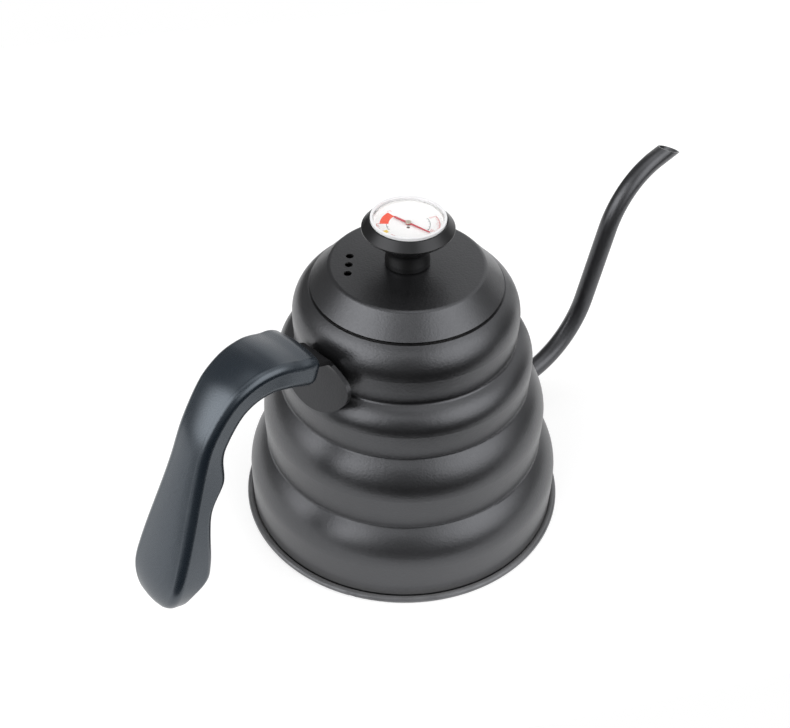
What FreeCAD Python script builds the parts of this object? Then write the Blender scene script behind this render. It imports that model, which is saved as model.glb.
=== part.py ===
import FreeCAD, Part
import math
import os
from collections import namedtuple

# Stove-top gooseneck kettle with a dial thermometer in the knob of its lid.
# Millimetres. The origin is on the table under the vessel's axis, +X runs to the spout, +Z is up.

# Vessel: four swelling rings of pressed sheet, widest at the foot
sheet = 0.8
lowest_ring_radius = 70.5
lower_ring_step = 7.6
upper_ring_step = 7.4
top_ring_step = 7.1
lowest_ring_height = 19.7
lowest_shoulder_rise = 17.2
lower_belly_rise = 16.3
lower_shoulder_rise = 17.1
upper_belly_rise = 12.6
upper_shoulder_rise = 11.1
top_belly_rise = 12.4
top_shoulder_rise = 13.3
crease_undercut = 0.9
crease_round = 1.5
foot_tuck = 0.4
seam_step = 7.0
rim_width = 3.4
lip_depth = 6.5

# Base plate with its rolled hem
hem_bead_radius = 1.5
hem_play = 0.15
base_sheet = 0.8
base_channel_width = 5.5
base_channel_slope = 2.5

# Lid and its inner collar
lid_gap = 0.3
lid_edge_gap = 0.8
lid_slope_run = 8.8
lid_slope_rise = 9.9
lid_crown_rise = 0.5
lid_round = 2.0
lid_pad_margin = 0.8
collar_play = 0.4
collar_depth = 9.5
collar_seat_width = 2.0
vent_count = 3
vent_diameter = 3.3
vent_pitch = 6.0
vent_distance = 24.0
vent_shift = 3.0
vent_angle = 136.8

# Knob
knob_height = 21.2
knob_foot_radius = 9.4
knob_foot_height = 2.6
knob_waist_radius = 8.4
knob_waist_height = 7.4
knob_under_radius = 13.6
knob_under_height = 12.2
knob_rim_radius = 19.1
knob_rim_height = 17.0
knob_rim_land = 0.7
knob_lip_width = 0.5
knob_foot_round = 0.8
knob_bead_round = 3.0
knob_waist_round = 3.5
knob_under_round = 4.0
knob_rim_round = 0.5
knob_lip_round = 0.4

# Thermometer head, sizes of the stack from the bezel down
case_radius = 15.5
case_wall = 0.5
case_fit = 0.12
case_step_width = 1.9
case_cup_depth = 3.5
bezel_thickness = 0.5
bezel_stand = 1.1
bezel_overlap = 0.5
lens_thickness = 1.2
lens_play = 0.1
gasket_thickness = 0.5
gasket_width = 0.8
retainer_height = 1.4
retainer_width = 0.7
dial_thickness = 0.4
dial_hole_radius = 1.0

# Threaded bush, nut, washer and seal that hold knob and thermometer to the lid
bush_radius = 4.0
bush_play = 0.15
bush_end_length = 1.2
seal_radius = 8.5
seal_thickness = 1.0
washer_radius = 8.0
washer_thickness = 0.8
nut_across_flats = 13.0
nut_height = 4.0

# Probe with its bimetal coil
probe_radius = 2.0
probe_wall = 0.3
probe_play = 0.1
probe_flange_radius = 4.2
probe_flange_thickness = 0.5
probe_tip_height = 45.0
plug_depth = 3.0
plug_fit = 0.02
spindle_radius = 0.4
spindle_clearance = 0.05
guide_length = 3.0
guide_margin = 4.0
coil_turns = 12
coil_pitch = 1.8
coil_wire_radius = 0.28
coil_wall_gap = 0.35
coil_end_gap = 0.3

# Pointer
pointer_reach = 10.6
pointer_tail = 7.2
pointer_tip_width = 0.5
pointer_tail_width = 0.9
pointer_thickness = 0.3
pointer_lift = 0.5
pointer_angle = -78.0
hub_radius = 1.2
hub_boss_radius = 0.8
hub_cap_height = 0.4
hub_boss_drop = 0.3

# Gooseneck spout: three straight runs joined by two bends
spout_radius = 4.5
spout_wall = 0.7
spout_root_slope = 10.0
spout_low_corner_x = 111.5
spout_low_bend = 42.0
spout_rise = 84.1
spout_lean = 25.1
spout_high_bend = 40.0
spout_lip_reach = 31.8
spout_trim = 27.0
spout_mouth_slope = 12.6
spout_cut_angle = 65.0
weld_radius = 6.8
weld_length = 2.6
weld_hollow = 0.3

# Handle bracket: a shield plate on the two upper rings, bent out into a tang
bracket_sheet = 1.8
bracket_bite = 0.15
bracket_bend = 4.0
shield_half_width = 21.4
shield_bottom_drop = 20.3
shield_wide_drop = 3.2
shield_neck_rise = 2.2
shield_corner = 6.0
tang_half_width = 8.0
tang_height = 7.5
tang_length = 25.5
tang_play = 0.15

# Handle: the outer face follows three runs, and the grip is measured inward from it
handle_turn = 4.0
handle_start_gap = 10.8
handle_start_lift = 7.4
handle_shoulder_out = 34.1
handle_shoulder_rise = 12.6
handle_elbow_out = 20.4
handle_elbow_drop = 25.3
handle_grip_out = 31.5
handle_grip_drop = 74.0
handle_shoulder_bend = 29.0
handle_elbow_bend = 49.0
handle_plain_length = 71.2
handle_plain_thickness = 12.0
first_swell_step = 10.6
first_swell_thickness = 15.4
finger_groove_step = 13.8
finger_groove_thickness = 12.1
second_swell_step = 30.0
second_swell_thickness = 17.3
handle_end_step = 6.5
handle_end_thickness = 14.0
handle_root_half_width = 14.3
handle_neck_half_width = 9.6
handle_neck_place = 69.2
handle_end_half_width = 14.7
handle_end_widest = 14.0
handle_end_length = 18.8
handle_end_fullness = 0.85
handle_root_round = 3.2
handle_crown = 1.0
handle_edge_round = 3.4
thickness_share = 0.4
width_share = 0.45
station_count = 21
root_round_shares = (0, 0.15, 0.45)
end_round_angles = (20, 40, 57, 71, 80, 86)

# Screw, washer and insert that hold the handle on the tang
screw_radius = 2.0
screw_end_distance = 9.0
screw_head_radius = 3.6
screw_head_height = 1.8
screw_slot_width = 1.0
screw_slot_depth = 0.9
screw_play = 0.15
screw_washer_radius = 4.2
screw_washer_thickness = 0.6
screw_land = 0.8
insert_radius = 3.2
insert_height = 3.4

V = FreeCAD.Vector
ORIGIN = V(0, 0, 0)
UP = V(0, 0, 1)
ACROSS = V(0, 1, 0)
Ring = namedtuple("Ring", "radius height")
Bow = namedtuple("Bow", "centre radius")


def point(radius, height):
    return V(radius, 0, height)


def line(start, end):
    return Part.LineSegment(start, end).toShape()


def swing(centre, start, end):
    """Arc of under half a circle about a centre."""
    outward = (start - centre).normalize() + (end - centre).normalize()
    middle = centre + outward.normalize() * (start - centre).Length
    return Part.Arc(start, middle, end).toShape()


def closed_face(edges):
    return Part.Face(Part.Wire(Part.__sortEdges__(edges)))


def polygon(*corners):
    return Part.Face(Part.makePolygon(list(corners) + [corners[0]]))


def turn(face):
    return face.revolve(ORIGIN, UP, 360)


def turned(*corners):
    """Solid turned about the vessel's axis from (radius, height) corners."""
    return turn(polygon(*[point(radius, height) for radius, height in corners]))


def collar(inner, outer, bottom, top):
    return turned((inner, bottom), (outer, bottom), (outer, top), (inner, top))


def plug(radius, bottom, top):
    return Part.makeCylinder(radius, top - bottom, V(0, 0, bottom), UP)


def rounded_run(corners, rounds):
    """Straight runs from corner to corner, each inner corner rounded by a tangent arc."""
    edges = []
    start = corners[0]
    for before, corner, after, radius in zip(corners, corners[1:], corners[2:], rounds):
        back = (before - corner).normalize()
        ahead = (after - corner).normalize()
        half_turn = (math.pi - back.getAngle(ahead)) / 2
        cut = radius * math.tan(half_turn)
        leave = corner + back * cut
        arrive = corner + ahead * cut
        centre = corner + (back + ahead).normalize() * (radius / math.cos(half_turn))
        edges.append(line(start, leave))
        edges.append(swing(centre, leave, arrive))
        start = arrive
    edges.append(line(start, corners[-1]))
    return edges


def shifted_run(corners, distance):
    """The same runs moved sideways, to the left of their direction in the XZ plane."""
    ways = [(after - before).normalize() for before, after in zip(corners, corners[1:])]
    lefts = [V(-way.z, 0, way.x) for way in ways]
    moved = [corners[0] + lefts[0] * distance]
    for corner, first, second in zip(corners[1:], lefts, lefts[1:]):
        spread = first + second
        moved.append(corner + spread * (distance / (1 + first.dot(second))))
    moved.append(corners[-1] + lefts[-1] * distance)
    return moved


def pipe(edges, radius):
    """Round bar along straight runs and arcs."""
    pieces = []
    for edge in edges:
        start = edge.valueAt(edge.FirstParameter)
        way = edge.tangentAt(edge.FirstParameter)
        if edge.Curve.TypeId == "Part::GeomCircle":
            disc = Part.Face(Part.Wire(Part.makeCircle(radius, start, way)))
            sweep = math.degrees(edge.LastParameter - edge.FirstParameter)
            pieces.append(disc.revolve(edge.Curve.Center, edge.Curve.Axis, sweep))
        else:
            pieces.append(Part.makeCylinder(radius, edge.Length, start, way))
    return pieces[0].fuse(pieces[1:]).removeSplitter()


def save(node, shape):
    shape.exportStep("parts/" + node + ".step")


# Rings of the vessel, from the foot up
lower_ring_radius = lowest_ring_radius - lower_ring_step
upper_ring_radius = lower_ring_radius - upper_ring_step
top_ring_radius = upper_ring_radius - top_ring_step
low_crease_height = lowest_ring_height + lowest_shoulder_rise
lower_ring_height = low_crease_height + lower_belly_rise
middle_crease_height = lower_ring_height + lower_shoulder_rise
upper_ring_height = middle_crease_height + upper_belly_rise
high_crease_height = upper_ring_height + upper_shoulder_rise
top_ring_height = high_crease_height + top_belly_rise
seam_height = top_ring_height + top_shoulder_rise
seam_radius = top_ring_radius - seam_step
mouth_radius = seam_radius - rim_width
foot_radius = lowest_ring_radius - foot_tuck
foot_height = hem_bead_radius + hem_play

rings = [
    Ring(lowest_ring_radius, lowest_ring_height),
    Ring(lower_ring_radius, lower_ring_height),
    Ring(upper_ring_radius, upper_ring_height),
    Ring(top_ring_radius, top_ring_height),
]
edges_between = [
    Ring(foot_radius, foot_height),
    Ring(lower_ring_radius - crease_undercut, low_crease_height),
    Ring(upper_ring_radius - crease_undercut, middle_crease_height),
    Ring(top_ring_radius - crease_undercut, high_crease_height),
    Ring(seam_radius, seam_height),
]


def bow(ring, edge):
    """Arc that stands upright at a ring's widest place and runs to its edge."""
    inset = ring.radius - edge.radius
    rise = edge.height - ring.height
    radius = (inset ** 2 + rise ** 2) / (2 * inset)
    return Bow(point(ring.radius - radius, ring.height), radius)


belly_bows = [bow(ring, edge) for ring, edge in zip(rings, edges_between)]
shoulder_bows = [bow(ring, edge) for ring, edge in zip(rings, edges_between[1:])]


def crease_centre(shoulder, belly):
    """Centre of the round in the valley between a shoulder and the belly above it."""
    span = belly.centre - shoulder.centre
    shoulder_reach = shoulder.radius + crease_round
    belly_reach = belly.radius + crease_round
    along = (span.Length ** 2 + shoulder_reach ** 2 - belly_reach ** 2) / (2 * span.Length)
    aside = math.sqrt(shoulder_reach ** 2 - along ** 2)
    way = span.normalize()
    return shoulder.centre + way * along + V(way.z, 0, -way.x) * aside


def on_bow(arc, height, depth):
    radius = arc.radius - depth
    return point(arc.centre.x + math.sqrt(radius ** 2 - (height - arc.centre.z) ** 2), height)


def facing(arc, target, depth):
    return arc.centre + (target - arc.centre).normalize() * (arc.radius - depth)


def wall_run(depth, top):
    """Edges of the vessel's wall from foot to mouth, at a depth below its outside."""
    edges = []
    start = on_bow(belly_bows[0], foot_height, depth)
    for index, ring in enumerate(rings):
        shoulder = shoulder_bows[index]
        widest = point(ring.radius - depth, ring.height)
        edges.append(swing(belly_bows[index].centre, start, widest))
        if ring is rings[-1]:
            edges.append(swing(shoulder.centre, widest, on_bow(shoulder, top, depth)))
        else:
            above = belly_bows[index + 1]
            centre = crease_centre(shoulder, above)
            leave = facing(shoulder, centre, depth)
            start = facing(above, centre, depth)
            edges.append(swing(shoulder.centre, widest, leave))
            edges.append(swing(centre, leave, start))
    return edges


def wall_block(depth, top):
    """Solid filling the vessel's wall line at a depth, up to a height."""
    edges = wall_run(depth, top)
    foot = on_bow(belly_bows[0], foot_height, depth)
    mouth = on_bow(shoulder_bows[-1], top, depth)
    edges.append(line(point(0, foot_height), foot))
    edges.append(line(mouth, point(0, top)))
    edges.append(line(point(0, top), point(0, foot_height)))
    return turn(closed_face(edges))


def vessel_wall():
    """Pressed wall with a turned-in rim and a lip round the mouth."""
    under_rim = seam_height - sheet
    lip_bottom = seam_height - lip_depth
    rim = [
        point(seam_radius, seam_height),
        point(mouth_radius, seam_height),
        point(mouth_radius, lip_bottom),
        point(mouth_radius + sheet, lip_bottom),
        point(mouth_radius + sheet, under_rim),
        on_bow(shoulder_bows[-1], under_rim, sheet),
    ]
    edges = wall_run(0, seam_height) + wall_run(sheet, under_rim)
    edges += [line(start, end) for start, end in zip(rim, rim[1:])]
    foot = on_bow(belly_bows[0], foot_height, 0)
    edges.append(line(on_bow(belly_bows[0], foot_height, sheet), foot))
    return turn(closed_face(edges))


def base_plate():
    """Flat pressed bottom with a raised channel and a rolled hem round its edge."""
    bead_centre = foot_radius + hem_play + hem_bead_radius
    channel_inner = foot_radius + hem_play - base_channel_width
    flat_radius = channel_inner - base_channel_slope
    channel_bottom = foot_height - base_sheet
    plate = turned(
        (0, 0), (flat_radius, 0), (channel_inner, channel_bottom), (bead_centre, channel_bottom),
        (bead_centre, foot_height), (channel_inner, foot_height),
        (flat_radius, base_sheet), (0, base_sheet),
    )
    bead = Part.makeTorus(bead_centre, hem_bead_radius, V(0, 0, hem_bead_radius), UP)
    return plate.fuse(bead).removeSplitter()


# Spout path, from inside the lowest ring to the pouring lip
def spout_path():
    slope = math.tan(math.radians(spout_root_slope))
    root = point(lowest_ring_radius - 2 * spout_radius, lowest_ring_height)
    low = point(spout_low_corner_x, root.z + (spout_low_corner_x - root.x) * slope)
    high = low + point(spout_lean, spout_rise)
    reach = spout_lip_reach + spout_trim
    mouth = high + point(reach, reach * math.tan(math.radians(spout_mouth_slope)))
    return [root, low, high, mouth]


def spout_bar(radius):
    return pipe(rounded_run(spout_path(), [spout_low_bend, spout_high_bend]), radius)


def spout_lip_cut():
    """Block beyond the slanted pouring lip."""
    high = spout_path()[2]
    middle = high + point(spout_lip_reach, spout_lip_reach * math.tan(math.radians(spout_mouth_slope)))
    size = 2 * spout_trim
    block = Part.makeBox(size, size, size, V(-size / 2, -size / 2, 0))
    block.rotate(ORIGIN, ACROSS, 90 - spout_cut_angle)
    block.translate(middle)
    return block


def spout_weld(outside, bar):
    """Concave bead of weld round the spout's root."""
    root, low = spout_path()[:2]
    way = (low - root).normalize()
    left = V(-way.z, 0, way.x)
    reach = (lowest_ring_radius - root.x) / way.x
    inner_end = root + way * (reach - 2 * weld_length)
    seat = root + way * reach
    tip = root + way * (reach + weld_length)
    throat = spout_radius + weld_hollow * (weld_radius - spout_radius)
    toe = Part.Arc(
        tip + left * spout_radius,
        seat + way * (weld_hollow * weld_length) + left * throat,
        seat + left * weld_radius,
    ).toShape()
    edges = [
        toe,
        line(seat + left * weld_radius, inner_end + left * weld_radius),
        line(inner_end + left * weld_radius, inner_end),
        line(inner_end, tip),
        line(tip, tip + left * spout_radius),
    ]
    bead = closed_face(edges).revolve(root, way, 360)
    return bead.cut(outside).cut(bar)


def build_vessel():
    outside = wall_block(0, seam_height)
    inside = wall_block(sheet, seam_height - sheet)
    bar = spout_bar(spout_radius)
    save("body_shell", vessel_wall().cut(bar))
    save("base_plate", base_plate())
    spout = bar.cut(spout_bar(spout_radius - spout_wall)).cut(inside).cut(spout_lip_cut())
    save("gooseneck_spout", spout)
    save("spout_weld", spout_weld(outside, bar))
    return outside


# Lid levels
lid_bottom = seam_height + lid_gap
lid_shoulder_radius = seam_radius - lid_slope_run
lid_shoulder_height = lid_bottom + lid_slope_rise
lid_top = lid_shoulder_height + lid_crown_rise
bush_hole_radius = bush_radius + bush_play
collar_radius = mouth_radius - collar_play
knob_top = lid_top + knob_height


def lid_corners():
    slope = V(lid_slope_run, 0, -lid_slope_rise).normalize()
    return [
        point(bush_hole_radius, lid_top),
        point(knob_foot_radius + lid_pad_margin, lid_top),
        point(lid_shoulder_radius, lid_shoulder_height),
        point(seam_radius, lid_bottom) + slope * (4 * sheet),
    ]


def lid_shell():
    """Pressed cap with a sloping side, a rounded shoulder and steam vents."""
    corners = lid_corners()
    pad_round = 2 * lid_round
    under = shifted_run(corners, -sheet)
    edges = rounded_run(corners, [pad_round, lid_round])
    edges += rounded_run(under, [pad_round - sheet, lid_round - sheet])
    edges += [line(corners[0], under[0]), line(corners[-1], under[-1])]
    cap = turn(closed_face(edges))
    below = plug(2 * seam_radius, lid_bottom - 2 * lid_slope_rise, lid_bottom + lid_edge_gap)
    cap = cap.cut(below)
    for index in range(vent_count):
        aside = vent_shift + (index - (vent_count - 1) / 2) * vent_pitch
        vent = Part.makeCylinder(
            vent_diameter / 2, 4 * lid_round, V(vent_distance, aside, lid_top - 2 * lid_round), UP)
        vent.rotate(ORIGIN, UP, vent_angle)
        cap = cap.cut(vent)
    return cap


def lid_collar():
    """Ring that drops into the mouth, with a seat over the rim and a top cut to the lid's slope."""
    corners = shifted_run(lid_corners(), -sheet)
    fall = (corners[-1].z - corners[-2].z) / (corners[-1].x - corners[-2].x)

    def under_slope(radius):
        return corners[-1].z + (radius - corners[-1].x) * fall

    inner = collar_radius - sheet
    bottom = seam_height - collar_depth
    seat = collar_radius + collar_seat_width
    return turned(
        (inner, bottom), (collar_radius, bottom), (collar_radius, lid_bottom), (seat, lid_bottom),
        (seat, under_slope(seat)), (inner, under_slope(inner)),
    )


# Levels of the thermometer's stack, from the top of the knob down
bezel_top = knob_top + bezel_stand
lens_top = bezel_top - bezel_thickness
lens_bottom = lens_top - lens_thickness
retainer_top = lens_bottom - gasket_thickness
dial_top = retainer_top - retainer_height
dial_bottom = dial_top - dial_thickness
case_step_bottom = dial_bottom - case_wall
case_floor_top = case_step_bottom - case_cup_depth + case_wall
case_bottom = case_floor_top - case_wall
case_bore = case_radius - case_wall
case_cup_radius = case_radius - case_step_width


def knob():
    """Waisted grip that opens into a stepped cup for the thermometer's head."""
    bore = case_radius + case_fit
    cup_bore = case_cup_radius + case_fit
    outer = [
        point(bush_hole_radius, lid_top),
        point(knob_foot_radius, lid_top),
        point(knob_foot_radius, lid_top + knob_foot_height),
        point(knob_waist_radius, lid_top + knob_waist_height),
        point(knob_under_radius, lid_top + knob_under_height),
        point(knob_rim_radius, lid_top + knob_rim_height),
        point(knob_rim_radius, lid_top + knob_rim_height + knob_rim_land),
        point(bore + knob_lip_width, knob_top),
        point(bore, knob_top),
    ]
    rounds = [
        knob_foot_round, knob_bead_round, knob_waist_round, knob_under_round,
        knob_rim_round, knob_rim_round, knob_lip_round,
    ]
    inner = [
        outer[-1],
        point(bore, case_step_bottom),
        point(cup_bore, case_step_bottom),
        point(cup_bore, case_bottom),
        point(bush_hole_radius, case_bottom),
        outer[0],
    ]
    edges = rounded_run(outer, rounds)
    edges += [line(start, end) for start, end in zip(inner, inner[1:])]
    return turn(closed_face(edges))


def thermometer_case():
    """Stepped cup of thin sheet with a hole for the probe in its floor."""
    cup_bore = case_cup_radius - case_wall
    hole = probe_radius + probe_play
    return turned(
        (hole, case_bottom), (case_cup_radius, case_bottom), (case_cup_radius, case_step_bottom),
        (case_radius, case_step_bottom), (case_radius, lens_top), (case_bore, lens_top),
        (case_bore, dial_bottom), (cup_bore, dial_bottom),
        (cup_bore, case_floor_top), (hole, case_floor_top),
    )


def hexagon_nut(bottom, top):
    corner = nut_across_flats / math.sqrt(3)
    turns = [math.radians(60 * index) for index in range(6)]
    corners = [V(corner * math.cos(angle), corner * math.sin(angle), bottom) for angle in turns]
    prism = polygon(*corners).extrude(V(0, 0, top - bottom))
    return prism.cut(plug(bush_hole_radius, bottom - nut_height, top + nut_height))


def build_lid():
    save("lid_shell", lid_shell())
    save("lid_collar", lid_collar())
    save("knob", knob())
    seal_top = lid_top - sheet
    washer_top = seal_top - seal_thickness
    nut_top = washer_top - washer_thickness
    nut_bottom = nut_top - nut_height
    save("knob_seal", collar(bush_hole_radius, seal_radius, washer_top, seal_top))
    save("knob_washer", collar(bush_hole_radius, washer_radius, nut_top, washer_top))
    save("knob_nut", hexagon_nut(nut_bottom, nut_top))
    bush_bore = probe_radius + probe_play
    save("threaded_bush", collar(bush_bore, bush_radius, nut_bottom - bush_end_length, case_bottom))


def build_thermometer():
    seated = case_bore - lens_play
    save("thermometer_case", thermometer_case())
    save("dial_plate", collar(dial_hole_radius, seated, dial_bottom, dial_top))
    save("dial_retainer", collar(seated - retainer_width, seated, dial_top, retainer_top))
    save("lens_gasket", collar(seated - gasket_width, seated, retainer_top, lens_bottom))
    save("lens", plug(seated, lens_bottom, lens_top))
    save("bezel_ring", collar(case_bore - bezel_overlap, case_radius, lens_top, bezel_top))


# Levels inside the probe
probe_bore = probe_radius - probe_wall
probe_top = case_floor_top + probe_flange_thickness
plug_top = probe_tip_height + probe_radius + plug_depth
coil_bottom = plug_top + coil_wire_radius + coil_end_gap
coil_top = coil_bottom + coil_turns * coil_pitch
spindle_bottom = coil_top + coil_wire_radius + coil_end_gap
low_guide_bottom = spindle_bottom + guide_margin
high_guide_top = probe_top - guide_margin
coil_radius = probe_bore - coil_wall_gap - coil_wire_radius


def probe_tube():
    """Thin tube hung from the case's floor by a flange."""
    lower_end = probe_tip_height + probe_radius
    return turned(
        (probe_bore, lower_end), (probe_radius, lower_end), (probe_radius, case_floor_top),
        (probe_flange_radius, case_floor_top), (probe_flange_radius, probe_top), (probe_bore, probe_top),
    )


def probe_plug():
    """Round-nosed plug that closes the lower end of the probe."""
    lower_end = probe_tip_height + probe_radius
    core = probe_bore - plug_fit
    corners = [
        point(0, plug_top), point(core, plug_top), point(core, lower_end), point(probe_radius, lower_end),
    ]
    edges = [line(start, end) for start, end in zip(corners, corners[1:])]
    edges.append(swing(point(0, lower_end), corners[-1], point(0, probe_tip_height)))
    edges.append(line(point(0, probe_tip_height), corners[0]))
    return turn(closed_face(edges))


def helix_point(quarter):
    angle = quarter * math.pi / 2
    height = coil_bottom + coil_pitch * quarter / 4
    return V(coil_radius * math.cos(angle), coil_radius * math.sin(angle), height)


def helix_way(quarter):
    angle = quarter * math.pi / 2
    round_rate = 2 * math.pi * coil_radius
    return V(-round_rate * math.sin(angle), round_rate * math.cos(angle), coil_pitch).normalize()


def tangent_arc(start, way, end):
    """Arc that leaves a point along a way and ends at another point."""
    chord = end - start
    square = (chord - way * chord.dot(way)).normalize()
    radius = chord.dot(chord) / (2 * chord.dot(square))
    return swing(start + square * radius, start, end)


def biarc(start, start_way, end, end_way):
    """Two arcs that join two points smoothly along the given ways."""
    chord = end - start
    ways = start_way + end_way
    along = chord.dot(ways)
    spread = 2 * (1 - start_way.dot(end_way))
    length = (math.sqrt(along ** 2 + spread * chord.dot(chord)) - along) / spread
    joint = (start + start_way * length + end - end_way * length) * 0.5
    second = tangent_arc(end, end_way * -1, joint)
    return [tangent_arc(start, start_way, joint), second]


def bimetal_coil():
    """Wound strip that turns the spindle as it warms, as one unbroken wire."""
    edges = []
    for quarter in range(4 * coil_turns):
        ends = (helix_point(quarter), helix_way(quarter), helix_point(quarter + 1), helix_way(quarter + 1))
        edges += biarc(*ends)
    path = Part.Wire(Part.__sortEdges__(edges))
    section = Part.Wire(Part.makeCircle(coil_wire_radius, helix_point(0), helix_way(0)))
    print("bimetal coil, least gap between turns:", round(coil_pitch - 2 * coil_wire_radius, 2))
    return path.makePipeShell([section], True, False)


def build_probe():
    guide_bore = spindle_radius + spindle_clearance
    guide_outer = probe_bore - plug_fit
    save("probe_tube", probe_tube())
    save("probe_plug", probe_plug())
    save("bimetal_coil", bimetal_coil())
    save("lower_guide", collar(guide_bore, guide_outer, low_guide_bottom, low_guide_bottom + guide_length))
    save("upper_guide", collar(guide_bore, guide_outer, high_guide_top - guide_length, high_guide_top))


def pointer_blade(bottom):
    """Tapered needle with a broader tail, pierced for the hub's boss."""
    tip = pointer_tip_width / 2
    tail = pointer_tail_width / 2
    corners = [
        V(pointer_reach, -tip, bottom), V(pointer_reach, tip, bottom), V(0, tail, bottom),
        V(-pointer_tail, tail, bottom), V(-pointer_tail, -tail, bottom), V(0, -tail, bottom),
    ]
    blade = polygon(*corners).extrude(V(0, 0, pointer_thickness))
    blade = blade.fuse(plug(hub_radius, bottom, bottom + pointer_thickness)).removeSplitter()
    blade = blade.cut(plug(hub_boss_radius, bottom - pointer_lift, bottom + pointer_lift))
    blade.rotate(ORIGIN, UP, pointer_angle)
    return blade


def build_pointer():
    blade_bottom = dial_top + pointer_lift
    blade_top = blade_bottom + pointer_thickness
    hub_top = blade_top + hub_cap_height
    boss = plug(hub_boss_radius, blade_bottom - hub_boss_drop, blade_top)
    hub = plug(hub_radius, blade_top, hub_top).fuse(boss)
    spindle = plug(spindle_radius, spindle_bottom, blade_top)
    save("pointer", pointer_blade(blade_bottom))
    save("pointer_hub", hub.removeSplitter().cut(spindle))
    save("spindle", spindle)


# Places of the bracket and the handle, measured out from the axis and mirrored to -X
tang_level = top_ring_height + tang_height
handle_start = top_ring_radius + handle_start_gap
screw_place = handle_start + tang_length - screw_end_distance
tang_slope = math.atan2(handle_shoulder_rise, handle_shoulder_out)


def behind(out, height):
    return V(-out, 0, height)


def shield_line():
    """Points of the plate's middle plane, laid on the common tangent of the two upper rings."""
    low = shoulder_bows[2]
    high = shoulder_bows[3]
    span = low.centre - high.centre
    lean = math.acos((high.radius - low.radius) / span.Length)
    heading = math.atan2(span.z, span.x) + lean
    normal = point(math.cos(heading), math.sin(heading))
    middle = normal.dot(low.centre) + low.radius - bracket_bite + bracket_sheet / 2

    def at(height):
        return behind((middle - normal.z * height) / normal.x, height)

    climb = math.tan(tang_slope)
    fold_out = (middle - normal.z * (tang_level - handle_start * climb)) / (normal.x + normal.z * climb)
    fold_height = tang_level + (fold_out - handle_start) * climb
    return at(top_ring_height - 2 * shield_bottom_drop), at(fold_height)


def shield_front():
    """Front outline of the bracket, a shield below and a narrow neck above."""
    bottom = top_ring_height - shield_bottom_drop
    wide = top_ring_height - shield_wide_drop
    neck = top_ring_height + shield_neck_rise
    top = tang_level + 2 * tang_length
    right = [V(0, tang_half_width, top), V(0, tang_half_width, neck), V(0, shield_half_width, wide)]
    left = [V(0, -corner.y, corner.z) for corner in right]
    edges = [line(left[0], right[0]), line(right[0], right[1]), line(right[1], right[2])]
    edges += [line(left[0], left[1]), line(left[1], left[2])]
    edges.append(Part.Arc(right[2], V(0, 0, bottom), left[2]).toShape())
    out = handle_start + 2 * tang_length
    face = closed_face(edges).extrude(V(-out, 0, 0))
    corners = [edge for edge in face.Edges if abs(edge.CenterOfMass.z - wide) < 1e-3]
    upright = [edge for edge in corners if edge.BoundBox.XLength > out - 1]
    return face.makeFillet(shield_corner, upright)


def bracket(outside):
    """Shield plate bent out into the tang, its back relieved to the vessel's rings."""
    foot, bend = shield_line()
    tang_run = behind(tang_length * math.cos(tang_slope), tang_length * math.sin(tang_slope))
    middle = [foot, bend, behind(handle_start, tang_level) + tang_run]
    half = bracket_sheet / 2
    near = shifted_run(middle, half)
    far = shifted_run(middle, -half)
    edges = rounded_run(near, [bracket_bend - half]) + rounded_run(far, [bracket_bend + half])
    edges += [line(near[0], far[0]), line(near[-1], far[-1])]
    strip = closed_face(edges).extrude(ACROSS * (4 * shield_half_width))
    strip.translate(ACROSS * (-2 * shield_half_width))
    clear = 2 * bracket_sheet
    hole = upright_bar(screw_radius + screw_play, tang_level - clear, tang_level + clear)
    return strip.common(shield_front()).cut(outside).cut(hole)


def handle_spine():
    start = behind(handle_start, tang_level + handle_start_lift)
    shoulder = start + behind(handle_shoulder_out, handle_shoulder_rise)
    elbow = shoulder + behind(handle_elbow_out, -handle_elbow_drop)
    end = elbow + behind(handle_grip_out, -handle_grip_drop)
    return Part.Wire(rounded_run([start, shoulder, elbow, end], [handle_shoulder_bend, handle_elbow_bend]))


def ease(value):
    """Smooth step from 0 to 1."""
    share = min(max(value, 0), 1)
    return share * share * (3 - 2 * share)


def keyed(along, keys):
    """Value at a distance, eased from key to key, each given as distance and value."""
    for (start, low), (end, high) in zip(keys, keys[1:]):
        if along <= end:
            return low + (high - low) * ease((along - start) / (end - start))
    return keys[-1][1]


def handle_thickness(along):
    """Even thickness at first, then two swells with a finger groove between them."""
    first_swell = handle_plain_length + first_swell_step
    groove = first_swell + finger_groove_step
    second_swell = groove + second_swell_step
    return keyed(along, [
        (handle_plain_length, handle_plain_thickness),
        (first_swell, first_swell_thickness),
        (groove, finger_groove_thickness),
        (second_swell, second_swell_thickness),
        (second_swell + handle_end_step, handle_end_thickness),
    ])


def handle_half_width(along, length):
    return keyed(along, [
        (0, handle_root_half_width),
        (handle_neck_place, handle_neck_half_width),
        (length - handle_end_widest, handle_end_half_width),
    ])


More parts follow.
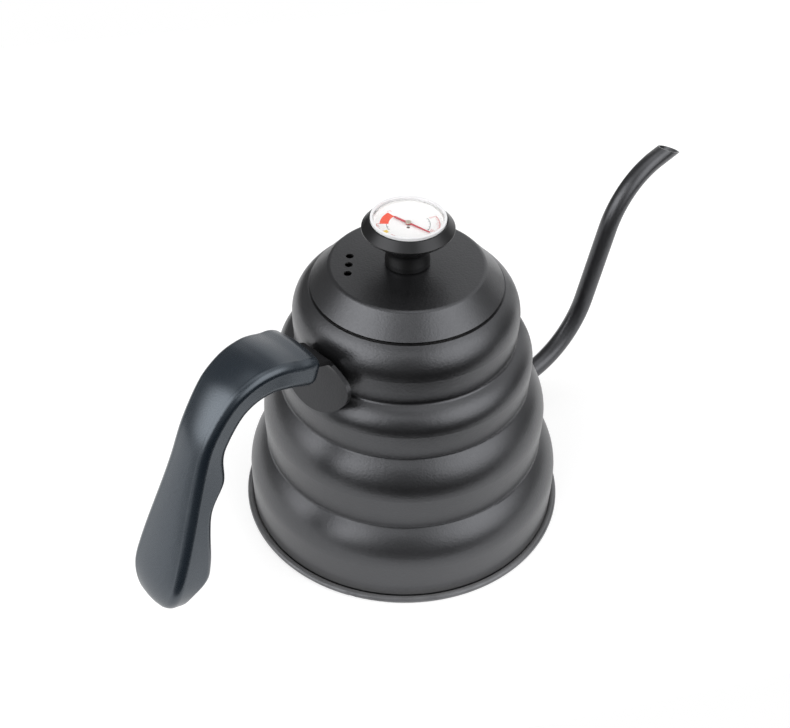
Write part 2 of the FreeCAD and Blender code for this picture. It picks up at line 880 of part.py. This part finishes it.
def handle_section(place, way, half_width, thickness):
    """Rounded section, crowned on its outer face, measured inward from the spine."""
    inward = way.cross(ACROSS)
    outer_round = min(handle_edge_round, thickness_share * thickness, width_share * half_width)
    crown = handle_crown * half_width / handle_root_half_width

    def at(across, depth):
        return place + ACROSS * across + inward * depth

    def corner(side, depth_sign, depth):
        centre = at(side * (half_width - outer_round), depth - depth_sign * outer_round)
        flat = at(side * (half_width - outer_round), depth)
        upright = at(side * half_width, depth - depth_sign * outer_round)
        return centre, flat, upright

    outer_left = corner(-1, -1, 0)
    outer_right = corner(1, -1, 0)
    inner_left = corner(-1, 1, thickness)
    inner_right = corner(1, 1, thickness)
    return Part.Wire([
        Part.Arc(outer_left[1], at(0, -crown), outer_right[1]).toShape(),
        swing(*outer_right),
        line(outer_right[2], inner_right[2]),
        swing(inner_right[0], inner_right[2], inner_right[1]),
        Part.Arc(inner_right[1], at(0, thickness + crown / 2), inner_left[1]).toShape(),
        swing(*inner_left),
        line(inner_left[2], outer_left[2]),
        swing(outer_left[0], outer_left[2], outer_left[1]),
    ])


def handle_blank():
    """Moulded grip lofted through sections along the spine, with a rounded root edge and end."""
    spine = handle_spine()
    length = spine.Length
    round_start = length - handle_end_length
    sections = []

    def add_section(along, width_loss, thickness_loss):
        place, way = spine_place(spine, along)
        inset = way.cross(ACROSS) * (thickness_loss / 2)
        sections.append(handle_section(
            place + inset, way, handle_half_width(along, length) - width_loss,
            handle_thickness(along) - thickness_loss))

    for share in root_round_shares:
        loss = handle_root_round * (1 - math.sqrt(1 - (1 - share) ** 2))
        add_section(handle_root_round * share, loss, 2 * loss)
    for index in range(station_count):
        share = index / (station_count - 1)
        add_section(handle_root_round + (round_start - handle_root_round) * share, 0, 0)
    for angle in end_round_angles:
        along = round_start + handle_end_length * math.sin(math.radians(angle)) ** handle_end_fullness
        loss = 1 - math.cos(math.radians(angle)) ** handle_end_fullness
        add_section(along, handle_half_width(along, length) * loss, handle_thickness(along) * loss)
    return Part.makeLoft(sections, True, False)


def spine_place(spine, along):
    """Point and direction at a distance along the spine."""
    for edge in spine.OrderedEdges:
        if along <= edge.Length or edge.isSame(spine.OrderedEdges[-1]):
            parameter = edge.getParameterByLength(min(along, edge.Length))
            return edge.valueAt(parameter), edge.tangentAt(parameter)
        along -= edge.Length


def tilted(shape):
    """Shape built level at the tang, tilted to the tang's slope."""
    shape.rotate(behind(handle_start, tang_level), ACROSS, math.degrees(tang_slope))
    return shape


def upright_bar(radius, bottom, top):
    return tilted(Part.makeCylinder(radius, top - bottom, behind(screw_place, bottom), UP))


def save_turned(node, shape):
    """Saves a piece of the handle, turned about the vessel's axis to where the handle stands."""
    shape.rotate(ORIGIN, UP, handle_turn)
    save(node, shape)


def build_handle(outside):
    slot_half_width = tang_half_width + tang_play
    slot_half_height = bracket_sheet / 2 + tang_play
    washer_top = tang_level - slot_half_height - screw_land
    head_top = washer_top - screw_washer_thickness
    head_bottom = head_top - screw_head_height
    insert_bottom = tang_level + slot_half_height
    insert_top = insert_bottom + insert_height
    slot = tilted(Part.makeBox(
        2 * tang_length, 2 * slot_half_width, 2 * slot_half_height,
        V(-handle_start - tang_length - tang_play, -slot_half_width, tang_level - slot_half_height)))
    pocket = upright_bar(screw_washer_radius + screw_play, head_bottom - tang_length, washer_top)
    shaft_hole = upright_bar(screw_radius + screw_play, washer_top, insert_bottom)
    insert = upright_bar(insert_radius, insert_bottom, insert_top)
    head = upright_bar(screw_head_radius, head_bottom, head_top)
    screw = upright_bar(screw_radius, head_top, insert_top).fuse(head).removeSplitter()
    driver_slot = tilted(Part.makeBox(
        4 * screw_head_radius, screw_slot_width, 2 * screw_slot_depth,
        V(-screw_place - 2 * screw_head_radius, -screw_slot_width / 2, head_bottom - screw_slot_depth)))
    washer_hole = upright_bar(screw_radius + screw_play, head_bottom, insert_top)
    thread_hole = upright_bar(screw_radius, head_bottom, insert_top)
    save_turned("handle_bracket", bracket(outside))
    save_turned("handle", handle_blank().cut(slot).cut(pocket).cut(shaft_hole).cut(insert))
    save_turned("handle_screw", screw.cut(driver_slot))
    save_turned("handle_washer", upright_bar(screw_washer_radius, head_top, washer_top).cut(washer_hole))
    save_turned("handle_insert", insert.cut(thread_hole))


os.makedirs("parts", exist_ok=True)
vessel_outside = build_vessel()
build_lid()
build_thermometer()
build_probe()
build_pointer()
build_handle(vessel_outside)
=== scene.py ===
import math
import bmesh
import bpy
from mathutils import Matrix, Vector


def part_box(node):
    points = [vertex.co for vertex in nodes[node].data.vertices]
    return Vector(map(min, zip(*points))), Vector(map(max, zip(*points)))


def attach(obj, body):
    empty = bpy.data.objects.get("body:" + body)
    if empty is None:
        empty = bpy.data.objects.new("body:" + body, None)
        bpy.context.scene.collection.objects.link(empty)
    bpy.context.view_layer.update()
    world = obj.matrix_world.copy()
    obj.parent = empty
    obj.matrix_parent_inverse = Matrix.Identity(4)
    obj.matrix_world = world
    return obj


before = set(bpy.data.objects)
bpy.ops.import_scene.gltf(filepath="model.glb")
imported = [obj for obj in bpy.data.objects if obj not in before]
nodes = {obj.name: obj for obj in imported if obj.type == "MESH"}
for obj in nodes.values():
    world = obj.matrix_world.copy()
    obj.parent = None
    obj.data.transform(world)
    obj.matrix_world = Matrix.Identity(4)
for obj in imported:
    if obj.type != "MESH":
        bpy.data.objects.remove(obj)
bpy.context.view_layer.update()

# Sizes in metres and angles in degrees, in the frame of the solids: +X runs to the spout, +Z is up.
MM = 0.001

# Camera, solved on the rings of the vessel, with its focal length in pixels and its sensor in millimetres
photo_width = 790
photo_focal_length = 1260.2
sensor_width = 36.0
camera_distance = 0.4212
camera_height = 0.4366
camera_tilt = 40.66
camera_swing = -0.588
camera_roll = 1.08
spout_turn = 42.0

# Dial printing: sizes from the pointer's axis, steps and zones in units of the scale
dial_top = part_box("dial_plate")[1].z
print_height = 0.02 * MM
scale_zero_angle = -13.0
scale_step_angle = 2.6
scale_end = 100
arc_facet_angle = 2.0
arc_width = 0.3 * MM
outer_arc_radius = 12.6 * MM
inner_arc_radius = 9.0 * MM
inner_stretches = ((0, 22), (70, 80))
tick_width = 0.26 * MM
long_tick_length = 1.5 * MM
short_tick_length = 0.8 * MM
long_tick_step = 10
outer_tick_step = 2
inner_tick_step = 5
numeral_step = 20
numeral_radius = 10.25 * MM
numeral_size = 1.9 * MM
brewing_zone = (80, 97)
brewing_zone_inner = 8.0 * MM
brewing_zone_outer = 11.6 * MM
warm_zone = (66, 70)
warm_zone_inner = 9.6 * MM
warm_zone_outer = 11.6 * MM
centre_dot_distance = 2.3 * MM
centre_dot_radius = 0.7 * MM
centre_dot_sides = 24

# Rolled hem round the vessel's foot
hem_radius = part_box("base_plate")[1].x
hem_width = 4.0 * MM

# Studio: a dim room with broad soft lights, each given as its bearing to the right of the camera,
# its height, the angles at which it is full and fades out, and its level
room_level = 0.24
soft_lights = {
    "left_window": (-56, 29, 13, 40, 3.2),
    "right_window": (57, 29, 10, 37, 2.5),
    "front_top": (0, 45, 3, 10, 2.0),
    "back_right": (105, 55, 12, 42, 0.8),
    "ceiling": (0, 90, 12, 26, 0.9),
}
backdrop = (160, 9, 24, 42, 1)
ground_edges = (-0.20, 0.16)

# Pale paper under the kettle, its edges measured from the vessel's axis, turned a little from the camera
paper_left = 1.2
paper_right = 0.5
paper_front = 0.142
paper_back = 0.5
paper_turn = 15.0
paper_drop = 0.2 * MM
paper_shade = (0.5, 0.5, 0.5)
paper_glow = 0.6
paper_roughness = (0.85, 0.95)
paper_fibre_size = 2 * MM

# Black coat: a fine grain, a mottle and marks of handling, with its relief and roughness
coat_dark = (0.004, 0.004, 0.0042)
coat_light = (0.006, 0.006, 0.0063)
coat_gloss = 1.0
bracket_gloss = 0.56
coat_sheen = (0.93, 0.945, 1.0)
coat_grain_size = 0.9 * MM
coat_grain_depth = 0.07 * MM
coat_mottle_size = 9 * MM
coat_mottle_depth = 0.02 * MM
coat_handling_size = 38 * MM
coat_handling_change = 0.02
coat_roughness = (0.32, 0.38)

# Painted light: the hem's coat is given paler colours than the rest of the coat, palest on its inner side,
# and the vessel's foot just above it is painted paler, lifting the shade and dark reflection in the joint
painted_light_hem_dark = (0.045, 0.045, 0.046)
painted_light_hem_light = (0.075, 0.075, 0.077)
painted_light_hem_inner = (0.23, 0.23, 0.233)
painted_light_hem_inner_reach = (hem_radius - 3.1 * MM, hem_radius - 0.7 * MM)
painted_light_foot = (0.085, 0.085, 0.086)
painted_light_foot_heights = (2.9 * MM, 7.2 * MM)

# Bare steel inside the sheets, with the marks of spinning
steel_colour = (0.58, 0.57, 0.55)
steel_shade = (0.50, 0.49, 0.475)
spun_ring_size = 1.4 * MM
spun_roughness = (0.24, 0.36)
bare_edge = 0.02

# Moulded plastic: spark texture and flow marks
spark_size = 0.28 * MM
spark_change = 0.03
flow_size = 16 * MM
flow_stretch = (1, 1, 0.4)
flow_depth = 0.02 * MM
flow_change = 0.02

# Turned metal: marks of the tool and dulling
tool_mark_size = 0.25 * MM
tool_mark_depth = 0.002 * MM
tool_mark_changes = (-0.05, 0.06)
dulling_size = 6 * MM

# Paint and ink: a slight cloud and a smooth skin
cloud_size = 2.5 * MM
skin_size = 0.12 * MM
skin_depth = 0.002 * MM
skin_change = 0.05

# Seal and lens
rubber_dark = (0.016, 0.016, 0.016)
rubber_pale = (0.034, 0.034, 0.034)
rubber_roughness = (0.62, 0.78)
bloom_size = 3 * MM
bloom_depth = 0.03 * MM
lens_clear = (1, 1, 1)
lens_cover = 0.03
lens_bend = 1.5
lens_roughness = (0.02, 0.05)
haze_size = 4 * MM


def rotation(degrees, axis):
    return Matrix.Rotation(math.radians(degrees), 3, axis)


def from_camera(right, far, up):
    """Place given to the right of, beyond and above the vessel's foot as the camera sees it."""
    return rotation(-spout_turn, "Z") @ Vector((right, far, up))


class ShaderTree:
    """Short calls for the nodes of a material or of the studio."""

    def __init__(self, tree):
        self.tree = tree

    def node(self, kind, **settings):
        made = self.tree.nodes.new(kind)
        for name, value in settings.items():
            setattr(made, name, value)
        return made

    def join(self, source, target):
        self.tree.links.new(source, target)

    def feed(self, socket, value):
        """Sets a socket to a number or a colour, or joins a source to it."""
        if isinstance(value, (int, float)):
            socket.default_value = value
        elif isinstance(value, tuple):
            socket.default_value = (*value, 1)
        else:
            self.join(value, socket)

    def sums(self, operation, first, second=0):
        made = self.node("ShaderNodeMath", operation=operation)
        self.feed(made.inputs[0], first)
        self.feed(made.inputs[1], second)
        return made.outputs["Value"]

    def spread(self, source, low, high, start=0.3, end=0.7, kind="LINEAR"):
        """Source between start and end, spread over low to high."""
        made = self.node("ShaderNodeMapRange", interpolation_type=kind)
        for name, value in (("From Min", start), ("From Max", end), ("To Min", low), ("To Max", high)):
            made.inputs[name].default_value = value
        self.join(source, made.inputs["Value"])
        return made.outputs["Result"]


# Finishes

class Finish(ShaderTree):
    """A procedural material on one Principled shader, from a plain colour and roughness."""

    def __init__(self, name, colour, roughness):
        self.material = bpy.data.materials.new(name)
        self.material.use_nodes = True
        super().__init__(self.material.node_tree)
        self.shader = self.tree.nodes["Principled BSDF"]
        self.place = self.node("ShaderNodeTexCoord").outputs["Object"]
        self.set("Base Color", colour)
        self.set("Roughness", roughness)

    def set(self, name, value):
        self.feed(self.shader.inputs[name], value)

    def stretched(self, scale):
        """Object coordinates with each axis scaled."""
        mapping = self.node("ShaderNodeMapping")
        mapping.inputs["Scale"].default_value = scale
        self.join(self.place, mapping.inputs["Vector"])
        return mapping.outputs["Vector"]

    def noise(self, size, detail, place=None):
        """Noise whose grains are about this size."""
        made = self.node("ShaderNodeTexNoise")
        made.inputs["Scale"].default_value = 1 / size
        made.inputs["Detail"].default_value = detail
        self.join(place or self.place, made.inputs["Vector"])
        return made.outputs["Fac"]

    def blend(self, factor, first, second):
        """Colour that goes from first to second with the factor."""
        made = self.node("ShaderNodeMix", data_type="RGBA")
        self.join(factor, made.inputs["Factor"])
        self.feed(made.inputs["A"], first)
        self.feed(made.inputs["B"], second)
        return made.outputs["Result"]

    def relief(self, *layers):
        """Bumps laid over one another, each given as height source and depth."""
        last = None
        for height, depth in layers:
            bump = self.node("ShaderNodeBump")
            bump.inputs["Distance"].default_value = depth
            self.join(height, bump.inputs["Height"])
            if last:
                self.join(last, bump.inputs["Normal"])
            last = bump.outputs["Normal"]
        self.set("Normal", last)

    def axes(self, source):
        made = self.node("ShaderNodeSeparateXYZ")
        self.join(source, made.inputs["Vector"])
        return made.outputs

    def level_product(self, first, second):
        """Dot product of two directions without their upright share."""
        return self.sums("ADD", self.sums("MULTIPLY", first["X"], second["X"]),
                         self.sums("MULTIPLY", first["Y"], second["Y"]))

    def height(self):
        return self.axes(self.place)["Z"]

    def reach(self):
        """Distance from the upright axis."""
        spot = self.axes(self.place)
        return self.sums("SQRT", self.level_product(spot, spot))

    def round_place(self):
        """Coordinates that stay the same all round the upright axis."""
        made = self.node("ShaderNodeCombineXYZ")
        self.join(self.reach(), made.inputs["X"])
        self.join(self.height(), made.inputs["Z"])
        return made.outputs["Vector"]

    def paler(self, colour, source, stretch, pale):
        """Painted light: colour that is pale where the source enters a stretch, and fades to itself along
        it.
        """
        start, end = stretch
        fade = self.spread(source, 1, 0, start, end)
        entered = self.sums("GREATER_THAN", source, start)
        return self.blend(self.sums("MULTIPLY", fade, entered), colour, pale)

    def bare_side(self, level, slope, within):
        """1 on the bare side of a turned sheet and 0 on its coat.

        The bare side faces the axis, tipped up or down by the slope, up to the level and within a radius.
        """
        facing = self.axes(self.node("ShaderNodeNewGeometry").outputs["True Normal"])
        reach = self.reach()
        radial = self.level_product(facing, self.axes(self.place))
        outward = self.sums("DIVIDE", radial, self.sums("MAXIMUM", reach, MM))
        side = self.sums("ADD", outward, self.sums("MULTIPLY", facing["Z"], slope))
        bare = self.spread(side, 1, 0, level - bare_edge, level + bare_edge)
        return self.sums("MULTIPLY", bare, self.sums("LESS_THAN", reach, within))


def coat_layers(finish, dark, light, gloss, cover=1):
    """Colour and roughness of the fine matt coat, with its relief, which fades where the cover is 0."""
    grain = finish.noise(coat_grain_size, 3)
    mottle = finish.noise(coat_mottle_size, 3)
    handling = finish.noise(coat_handling_size, 2)
    finish.relief((finish.sums("MULTIPLY", grain, cover), coat_grain_depth),
                  (finish.sums("MULTIPLY", mottle, cover), coat_mottle_depth))
    finish.set("Specular IOR Level", gloss)
    finish.set("Specular Tint", coat_sheen)
    colour = finish.blend(finish.spread(mottle, 0, 1), dark, light)
    wiped = finish.spread(handling, -coat_handling_change, coat_handling_change)
    return colour, finish.sums("ADD", finish.spread(grain, *coat_roughness), wiped)


def black_coat(name, gloss):
    finish = Finish(name, coat_dark, coat_roughness[0])
    colour, roughness = coat_layers(finish, coat_dark, coat_light, gloss)
    finish.set("Base Color", colour)
    finish.set("Roughness", roughness)
    return finish.material


def coat_over_steel(name, dark, light, level, slope, within, foot=False, hem=False):
    """Coat outside and bare spun steel inside, with painted light that makes it paler on a foot by height
    or on a hem by reach.
    """
    finish = Finish(name, dark, coat_roughness[0])
    bare = finish.bare_side(level, slope, within)
    colour, roughness = coat_layers(finish, dark, light, coat_gloss, finish.sums("SUBTRACT", 1, bare))
    if foot:
        # Painted light: the foot just above the hem is paler, lifting the shade of the joint.
        colour = finish.paler(colour, finish.height(), painted_light_foot_heights, painted_light_foot)
    if hem:
        # Painted light: the hem's inner side is palest, lifting the shade of the joint.
        colour = finish.paler(colour, finish.reach(), painted_light_hem_inner_reach, painted_light_hem_inner)
    rings = finish.noise(spun_ring_size, 3, finish.round_place())
    finish.set("Base Color", finish.blend(bare, colour, finish.blend(rings, steel_shade, steel_colour)))
    gap = finish.sums("SUBTRACT", finish.spread(rings, *spun_roughness), roughness)
    finish.set("Roughness", finish.sums("ADD", roughness, finish.sums("MULTIPLY", gap, bare)))
    finish.set("Metallic", bare)
    return finish.material


def moulded_plastic(name, dark, light, sheen, gloss, roughness, spark_depth):
    """Satin moulded plastic with a fine spark texture and faint flow marks."""
    finish = Finish(name, dark, roughness)
    spark = finish.noise(spark_size, 2)
    flow = finish.noise(flow_size, 3, finish.stretched(flow_stretch))
    finish.set("Base Color", finish.blend(finish.spread(flow, 0, 1), dark, light))
    sparked = finish.spread(spark, roughness - spark_change, roughness + spark_change)
    finish.set("Roughness", finish.sums("ADD", sparked, finish.spread(flow, -flow_change, flow_change)))
    finish.relief((spark, spark_depth), (flow, flow_depth))
    finish.set("Specular IOR Level", gloss)
    finish.set("Specular Tint", sheen)
    return finish.material


def turned_metal(name, dark, light, roughness):
    """Metal with fine turning marks and a little dulling."""
    finish = Finish(name, light, roughness)
    finish.set("Metallic", 1.0)
    marks = finish.noise(tool_mark_size, 3, finish.round_place())
    dulling = finish.noise(dulling_size, 2)
    finish.set("Base Color", finish.blend(finish.spread(dulling, 0, 1), dark, light))
    smoother, rougher = tool_mark_changes
    finish.set("Roughness", finish.spread(marks, roughness + smoother, roughness + rougher))
    finish.relief((marks, tool_mark_depth))
    return finish.material


def painted(name, colour, shade, roughness):
    """Smooth paint or printing ink with a slight unevenness."""
    finish = Finish(name, colour, roughness)
    cloud = finish.noise(cloud_size, 3)
    skin = finish.noise(skin_size, 2)
    finish.set("Base Color", finish.blend(finish.spread(cloud, 0, 1), colour, shade))
    finish.set("Roughness", finish.spread(skin, roughness - skin_change, roughness + skin_change))
    finish.relief((skin, skin_depth))
    return finish.material


def seal_rubber():
    """Matt rubber with a pale bloom."""
    finish = Finish("seal_rubber", rubber_dark, rubber_roughness[0])
    bloom = finish.noise(bloom_size, 3)
    finish.set("Base Color", finish.blend(bloom, rubber_dark, rubber_pale))
    finish.set("Roughness", finish.spread(bloom, *rubber_roughness))
    finish.relief((bloom, bloom_depth))
    return finish.material


def lens_glass():
    """Clear lens with the faintest haze."""
    finish = Finish("lens_glass", lens_clear, lens_roughness[0])
    finish.set("Alpha", lens_cover)
    finish.set("IOR", lens_bend)
    finish.set("Roughness", finish.spread(finish.noise(haze_size, 2), *lens_roughness))
    return finish.material


# Each metal's darker and lighter colour and its roughness
metals = {
    "steel": (steel_shade, steel_colour, 0.32),
    "brass": ((0.62, 0.46, 0.22), (0.72, 0.55, 0.28), 0.26),
    "pale_brass": ((0.58, 0.51, 0.41), (0.68, 0.61, 0.50), 0.3),
}
# Each paint's colour, shade and roughness
paints = {
    # The bezel and the thermometer's case are pale steel; their white paint is partly that and partly a
    # painted reflection of the white room.
    "ring_painted_reflection": ((0.84, 0.84, 0.85), (0.80, 0.80, 0.81), 0.3),
    "dial_white": ((0.92, 0.92, 0.915), (0.89, 0.89, 0.885), 0.45),
    "pointer_red": ((0.52, 0.03, 0.05), (0.46, 0.025, 0.04), 0.35),
    "zone_red": ((0.88, 0.07, 0.015), (0.84, 0.06, 0.012), 0.5),
    "zone_yellow": ((0.86, 0.62, 0.10), (0.82, 0.58, 0.09), 0.5),
    "scale_red": ((0.70, 0.20, 0.20), (0.64, 0.17, 0.17), 0.5),
    "scale_grey": ((0.30, 0.30, 0.31), (0.25, 0.25, 0.26), 0.5),
    "dot_brown": ((0.10, 0.08, 0.07), (0.08, 0.065, 0.055), 0.5),
    "pale_gasket": ((0.80, 0.80, 0.79), (0.76, 0.76, 0.75), 0.5),
}
finishes = {
    "black_coat": black_coat("black_coat", coat_gloss),
    "bracket_coat": black_coat("bracket_coat", bracket_gloss),
    # Painted light on the vessel's foot, just above the hem.
    "vessel_coat": coat_over_steel(
        "vessel_coat", coat_dark, coat_light, level=0.0, slope=0.3, within=hem_radius, foot=True),
    # Painted light: the hem's coat is paler than the black coat, palest on its inner side.
    "base_coat": coat_over_steel(
        "base_coat", painted_light_hem_dark, painted_light_hem_light, level=-0.5, slope=-1.0, within=hem_radius - hem_width, hem=True),
    "lid_coat": coat_over_steel(
        "lid_coat", coat_dark, coat_light, level=-0.3, slope=1.0, within=hem_radius),
    "handle_plastic": moulded_plastic(
        "handle_plastic", dark=(0.006, 0.010, 0.015), light=(0.009, 0.013, 0.018), sheen=(0.81, 0.90, 1.0),
        gloss=1.0, roughness=0.28, spark_depth=0.002 * MM),
    "knob_plastic": moulded_plastic(
        "knob_plastic", dark=(0.004, 0.004, 0.004), light=(0.006, 0.006, 0.006), sheen=(0.95, 0.96, 1.0),
        gloss=0.42, roughness=0.34, spark_depth=0.006 * MM),
    "seal_rubber": seal_rubber(),
    "lens_glass": lens_glass(),
}
finishes.update({name: turned_metal(name, *values) for name, values in metals.items()})
finishes.update({name: painted(name, *values) for name, values in paints.items()})

node_finishes = {
    "vessel_coat": ["body_shell"],
    "base_coat": ["base_plate"],
    "black_coat": ["gooseneck_spout", "spout_weld"],
    "bracket_coat": ["handle_bracket"],
    "lid_coat": ["lid_shell"],
    "handle_plastic": ["handle"],
    "knob_plastic": ["knob"],
    "steel": ["lid_collar", "knob_nut", "knob_washer", "handle_screw", "handle_washer", "probe_tube",
              "probe_plug", "spindle", "bimetal_coil"],
    # Steel parts given white paint: pale metal with a painted reflection.
    "ring_painted_reflection": ["bezel_ring", "thermometer_case"],
    "brass": ["threaded_bush", "handle_insert", "lower_guide", "upper_guide"],
    "pale_brass": ["pointer_hub"],
    "seal_rubber": ["knob_seal"],
    "pale_gasket": ["lens_gasket"],
    # The retainer is pale steel given the dial's white: partly its own colour, partly a painted reflection
    # that lifts the ring round the dial.
    "dial_white": ["dial_plate", "dial_retainer"],
    "pointer_red": ["pointer"],
    "lens_glass": ["lens"],
}


def finish_nodes():
    for finish, names in node_finishes.items():
        for name in names:
            for slot in nodes[name].material_slots:
                slot.material = finishes[finish]


# Dial printing

def printed(name, mesh, finish):
    """A printed mark on the dial, which rides with the lid."""
    shape = bpy.data.meshes.new(name)
    bmesh.ops.recalc_face_normals(mesh, faces=mesh.faces)
    mesh.to_mesh(shape)
    mesh.free()
    piece = bpy.data.objects.new(name, shape)
    bpy.context.scene.collection.objects.link(piece)
    shape.materials.append(finishes[finish])
    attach(piece, "lid")


def scale_angle(value):
    return math.radians(scale_zero_angle - scale_step_angle * value)


def scale_place(value, radius, height):
    """Point on the dial at a scale value."""
    angle = scale_angle(value)
    return Vector((math.cos(angle) * radius, math.sin(angle) * radius, height))


def add_arc(mesh, inner, outer, start, end):
    """Flat band between two scale values, raised to the thickness of the print."""
    ends = [mesh.verts.new(scale_place(start, radius, dial_top)) for radius in (inner, outer)]
    edge = mesh.edges.new(ends)
    older = set(mesh.faces)
    turn = scale_angle(end) - scale_angle(start)
    steps = max(2, int(abs(math.degrees(turn)) / arc_facet_angle))
    bmesh.ops.spin(mesh, geom=[*ends, edge], cent=(0, 0, 0), axis=(0, 0, 1), angle=turn, steps=steps)
    made = [face for face in mesh.faces if face not in older]
    raised = bmesh.ops.extrude_face_region(mesh, geom=made)["geom"]
    tops = [item for item in raised if isinstance(item, bmesh.types.BMVert)]
    bmesh.ops.translate(mesh, verts=tops, vec=(0, 0, print_height))


def add_tick(mesh, value, outer, length):
    """Straight mark that points to the axis."""
    size = Matrix.Diagonal((length, tick_width, print_height, 1))
    shift = Matrix.Translation((outer - length / 2, 0, dial_top + print_height / 2))
    bmesh.ops.create_cube(mesh, size=1, matrix=Matrix.Rotation(scale_angle(value), 4, "Z") @ shift @ size)


def print_scales():
    outer = bmesh.new()
    add_arc(outer, outer_arc_radius, outer_arc_radius + arc_width, 0, brewing_zone[0])
    for value in range(0, scale_end + 1, outer_tick_step):
        if brewing_zone[0] < value < brewing_zone[1]:
            continue
        length = short_tick_length if value % long_tick_step else long_tick_length
        add_tick(outer, value, outer_arc_radius, length)
    printed("outer_scale", outer, "scale_red")
    inner = bmesh.new()
    for start, end in inner_stretches:
        add_arc(inner, inner_arc_radius - arc_width, inner_arc_radius, start, end)
        for value in range(start, end, inner_tick_step):
            add_tick(inner, value, inner_arc_radius, short_tick_length)
    printed("inner_scale", inner, "scale_grey")


def print_zones():
    red = bmesh.new()
    add_arc(red, brewing_zone_inner, brewing_zone_outer, *brewing_zone)
    printed("brewing_zone", red, "zone_red")
    yellow = bmesh.new()
    add_arc(yellow, warm_zone_inner, warm_zone_outer, *warm_zone)
    printed("warm_zone", yellow, "zone_yellow")


def print_centre_dot():
    dot = bmesh.new()
    place = from_camera(0, -centre_dot_distance, dial_top + print_height / 2)
    bmesh.ops.create_cone(dot, segments=centre_dot_sides, radius1=centre_dot_radius,
                          radius2=centre_dot_radius, depth=print_height, cap_ends=True,
                          matrix=Matrix.Translation(place))
    printed("centre_dot", dot, "dot_brown")


def print_numerals():
    """Numbers up to the brewing zone, standing with their feet to the axis."""
    mesh = bmesh.new()
    for value in range(0, brewing_zone[0], numeral_step):
        curve = bpy.data.curves.new("numeral", "FONT")
        curve.body = str(value)
        curve.size = numeral_size
        curve.align_x = "CENTER"
        curve.align_y = "CENTER"
        curve.extrude = print_height / 2
        carrier = bpy.data.objects.new("numeral", curve)
        flat = bpy.data.meshes.new_from_object(carrier)
        place = Matrix.Translation(scale_place(value, numeral_radius, dial_top + print_height / 2))
        flat.transform(place @ Matrix.Rotation(scale_angle(value) - math.pi / 2, 4, "Z"))
        mesh.from_mesh(flat)
        bpy.data.objects.remove(carrier)
        bpy.data.curves.remove(curve)
        bpy.data.meshes.remove(flat)
    printed("scale_numerals", mesh, "scale_red")


# Floor, light and camera

def add_floor():
    """Sheet of pale paper, lit through a little from below."""
    turn = rotation(paper_turn - spout_turn, "Z").to_4x4()
    middle = ((paper_right - paper_left) / 2, (paper_back - paper_front) / 2, -paper_drop)
    size = Matrix.Diagonal(((paper_left + paper_right) / 2, (paper_front + paper_back) / 2, 1, 1))
    mesh = bmesh.new()
    bmesh.ops.create_grid(mesh, x_segments=1, y_segments=1, size=1,
                          matrix=turn @ Matrix.Translation(middle) @ size)
    shape = bpy.data.meshes.new("floor")
    mesh.to_mesh(shape)
    mesh.free()
    floor = bpy.data.objects.new("floor", shape)
    bpy.context.scene.collection.objects.link(floor)
    finish = Finish("floor_paper", paper_shade, paper_roughness[0])
    finish.set("Roughness", finish.spread(finish.noise(paper_fibre_size, 3), *paper_roughness))
    finish.set("Emission Color", (1, 1, 1))
    finish.set("Emission Strength", paper_glow)
    shape.materials.append(finish.material)


class Room(ShaderTree):
    """The studio round the kettle, as a strength over the directions from it."""

    def __init__(self):
        world = bpy.data.worlds.new("studio")
        bpy.context.scene.world = world
        world.use_nodes = True
        super().__init__(world.node_tree)
        self.heading = self.node("ShaderNodeTexCoord").outputs["Generated"]

    def patch(self, target, start, end, level):
        """Rises to a level as directions come near a target, between two cosines."""
        nearness = self.node("ShaderNodeVectorMath", operation="DOT_PRODUCT")
        nearness.inputs[1].default_value = target
        self.join(self.heading, nearness.inputs[0])
        return self.spread(nearness.outputs["Value"], 0, level, start, end, "SMOOTHSTEP")

    def light(self, bearing, height, full, faded, level):
        """Round soft light, given in degrees as the camera sees it."""
        toward = rotation(bearing, "Z") @ rotation(-height, "X") @ Vector((0, -1, 0))
        start, end = (math.cos(math.radians(angle)) for angle in (faded, full))
        return self.patch(from_camera(*toward), start, end, level)

    def show(self, strength, mirrored):
        """White to the camera and through the lens, the backdrop in mirrors, else the studio's strength."""
        studio = self.tree.nodes["Background"]
        white = self.node("ShaderNodeBackground")
        for background, level in ((studio, strength), (white, 1)):
            self.feed(background.inputs["Color"], (1, 1, 1))
            self.feed(background.inputs["Strength"], level)
        path = self.node("ShaderNodeLightPath").outputs
        clear = self.sums("MAXIMUM", path["Is Camera Ray"], path["Is Transmission Ray"])
        shiny = self.sums("MULTIPLY", path["Is Glossy Ray"], mirrored)
        choice = self.node("ShaderNodeMixShader")
        self.join(self.sums("MAXIMUM", clear, shiny), choice.inputs["Fac"])
        self.join(studio.outputs["Background"], choice.inputs[1])
        self.join(white.outputs["Background"], choice.inputs[2])
        self.join(choice.outputs["Shader"], self.tree.nodes["World Output"].inputs["Surface"])


def add_world():
    room = Room()
    strength = room_level
    for light in soft_lights.values():
        strength = room.sums("ADD", strength, room.light(*light))
    above_ground = room.patch((0, 0, 1), *ground_edges, 1)
    room.show(room.sums("MULTIPLY", strength, above_ground), room.light(*backdrop))


def add_camera():
    """Camera at the photograph's place, turned by tilt, swing and roll from a level look along the view."""
    view = bpy.data.cameras.new("photo_camera")
    view.sensor_width = sensor_width
    view.lens = photo_focal_length * sensor_width / photo_width
    camera = bpy.data.objects.new("photo_camera", view)
    bpy.context.scene.collection.objects.link(camera)
    turn = rotation(camera_roll, "Z") @ rotation(camera_tilt, "X") @ rotation(-camera_swing, "Y")
    turn = turn @ rotation(90, "X") @ rotation(spout_turn, "Z")
    upright = Matrix.Diagonal((1, -1, -1)) @ turn
    place = from_camera(0, -camera_distance, camera_height)
    camera.matrix_world = Matrix.Translation(place) @ upright.transposed().to_4x4()
    bpy.context.scene.camera = camera


finish_nodes()
print_scales()
print_zones()
print_centre_dot()
print_numerals()
add_floor()
add_world()
add_camera()
bpy.context.scene.view_settings.view_transform = "Standard"
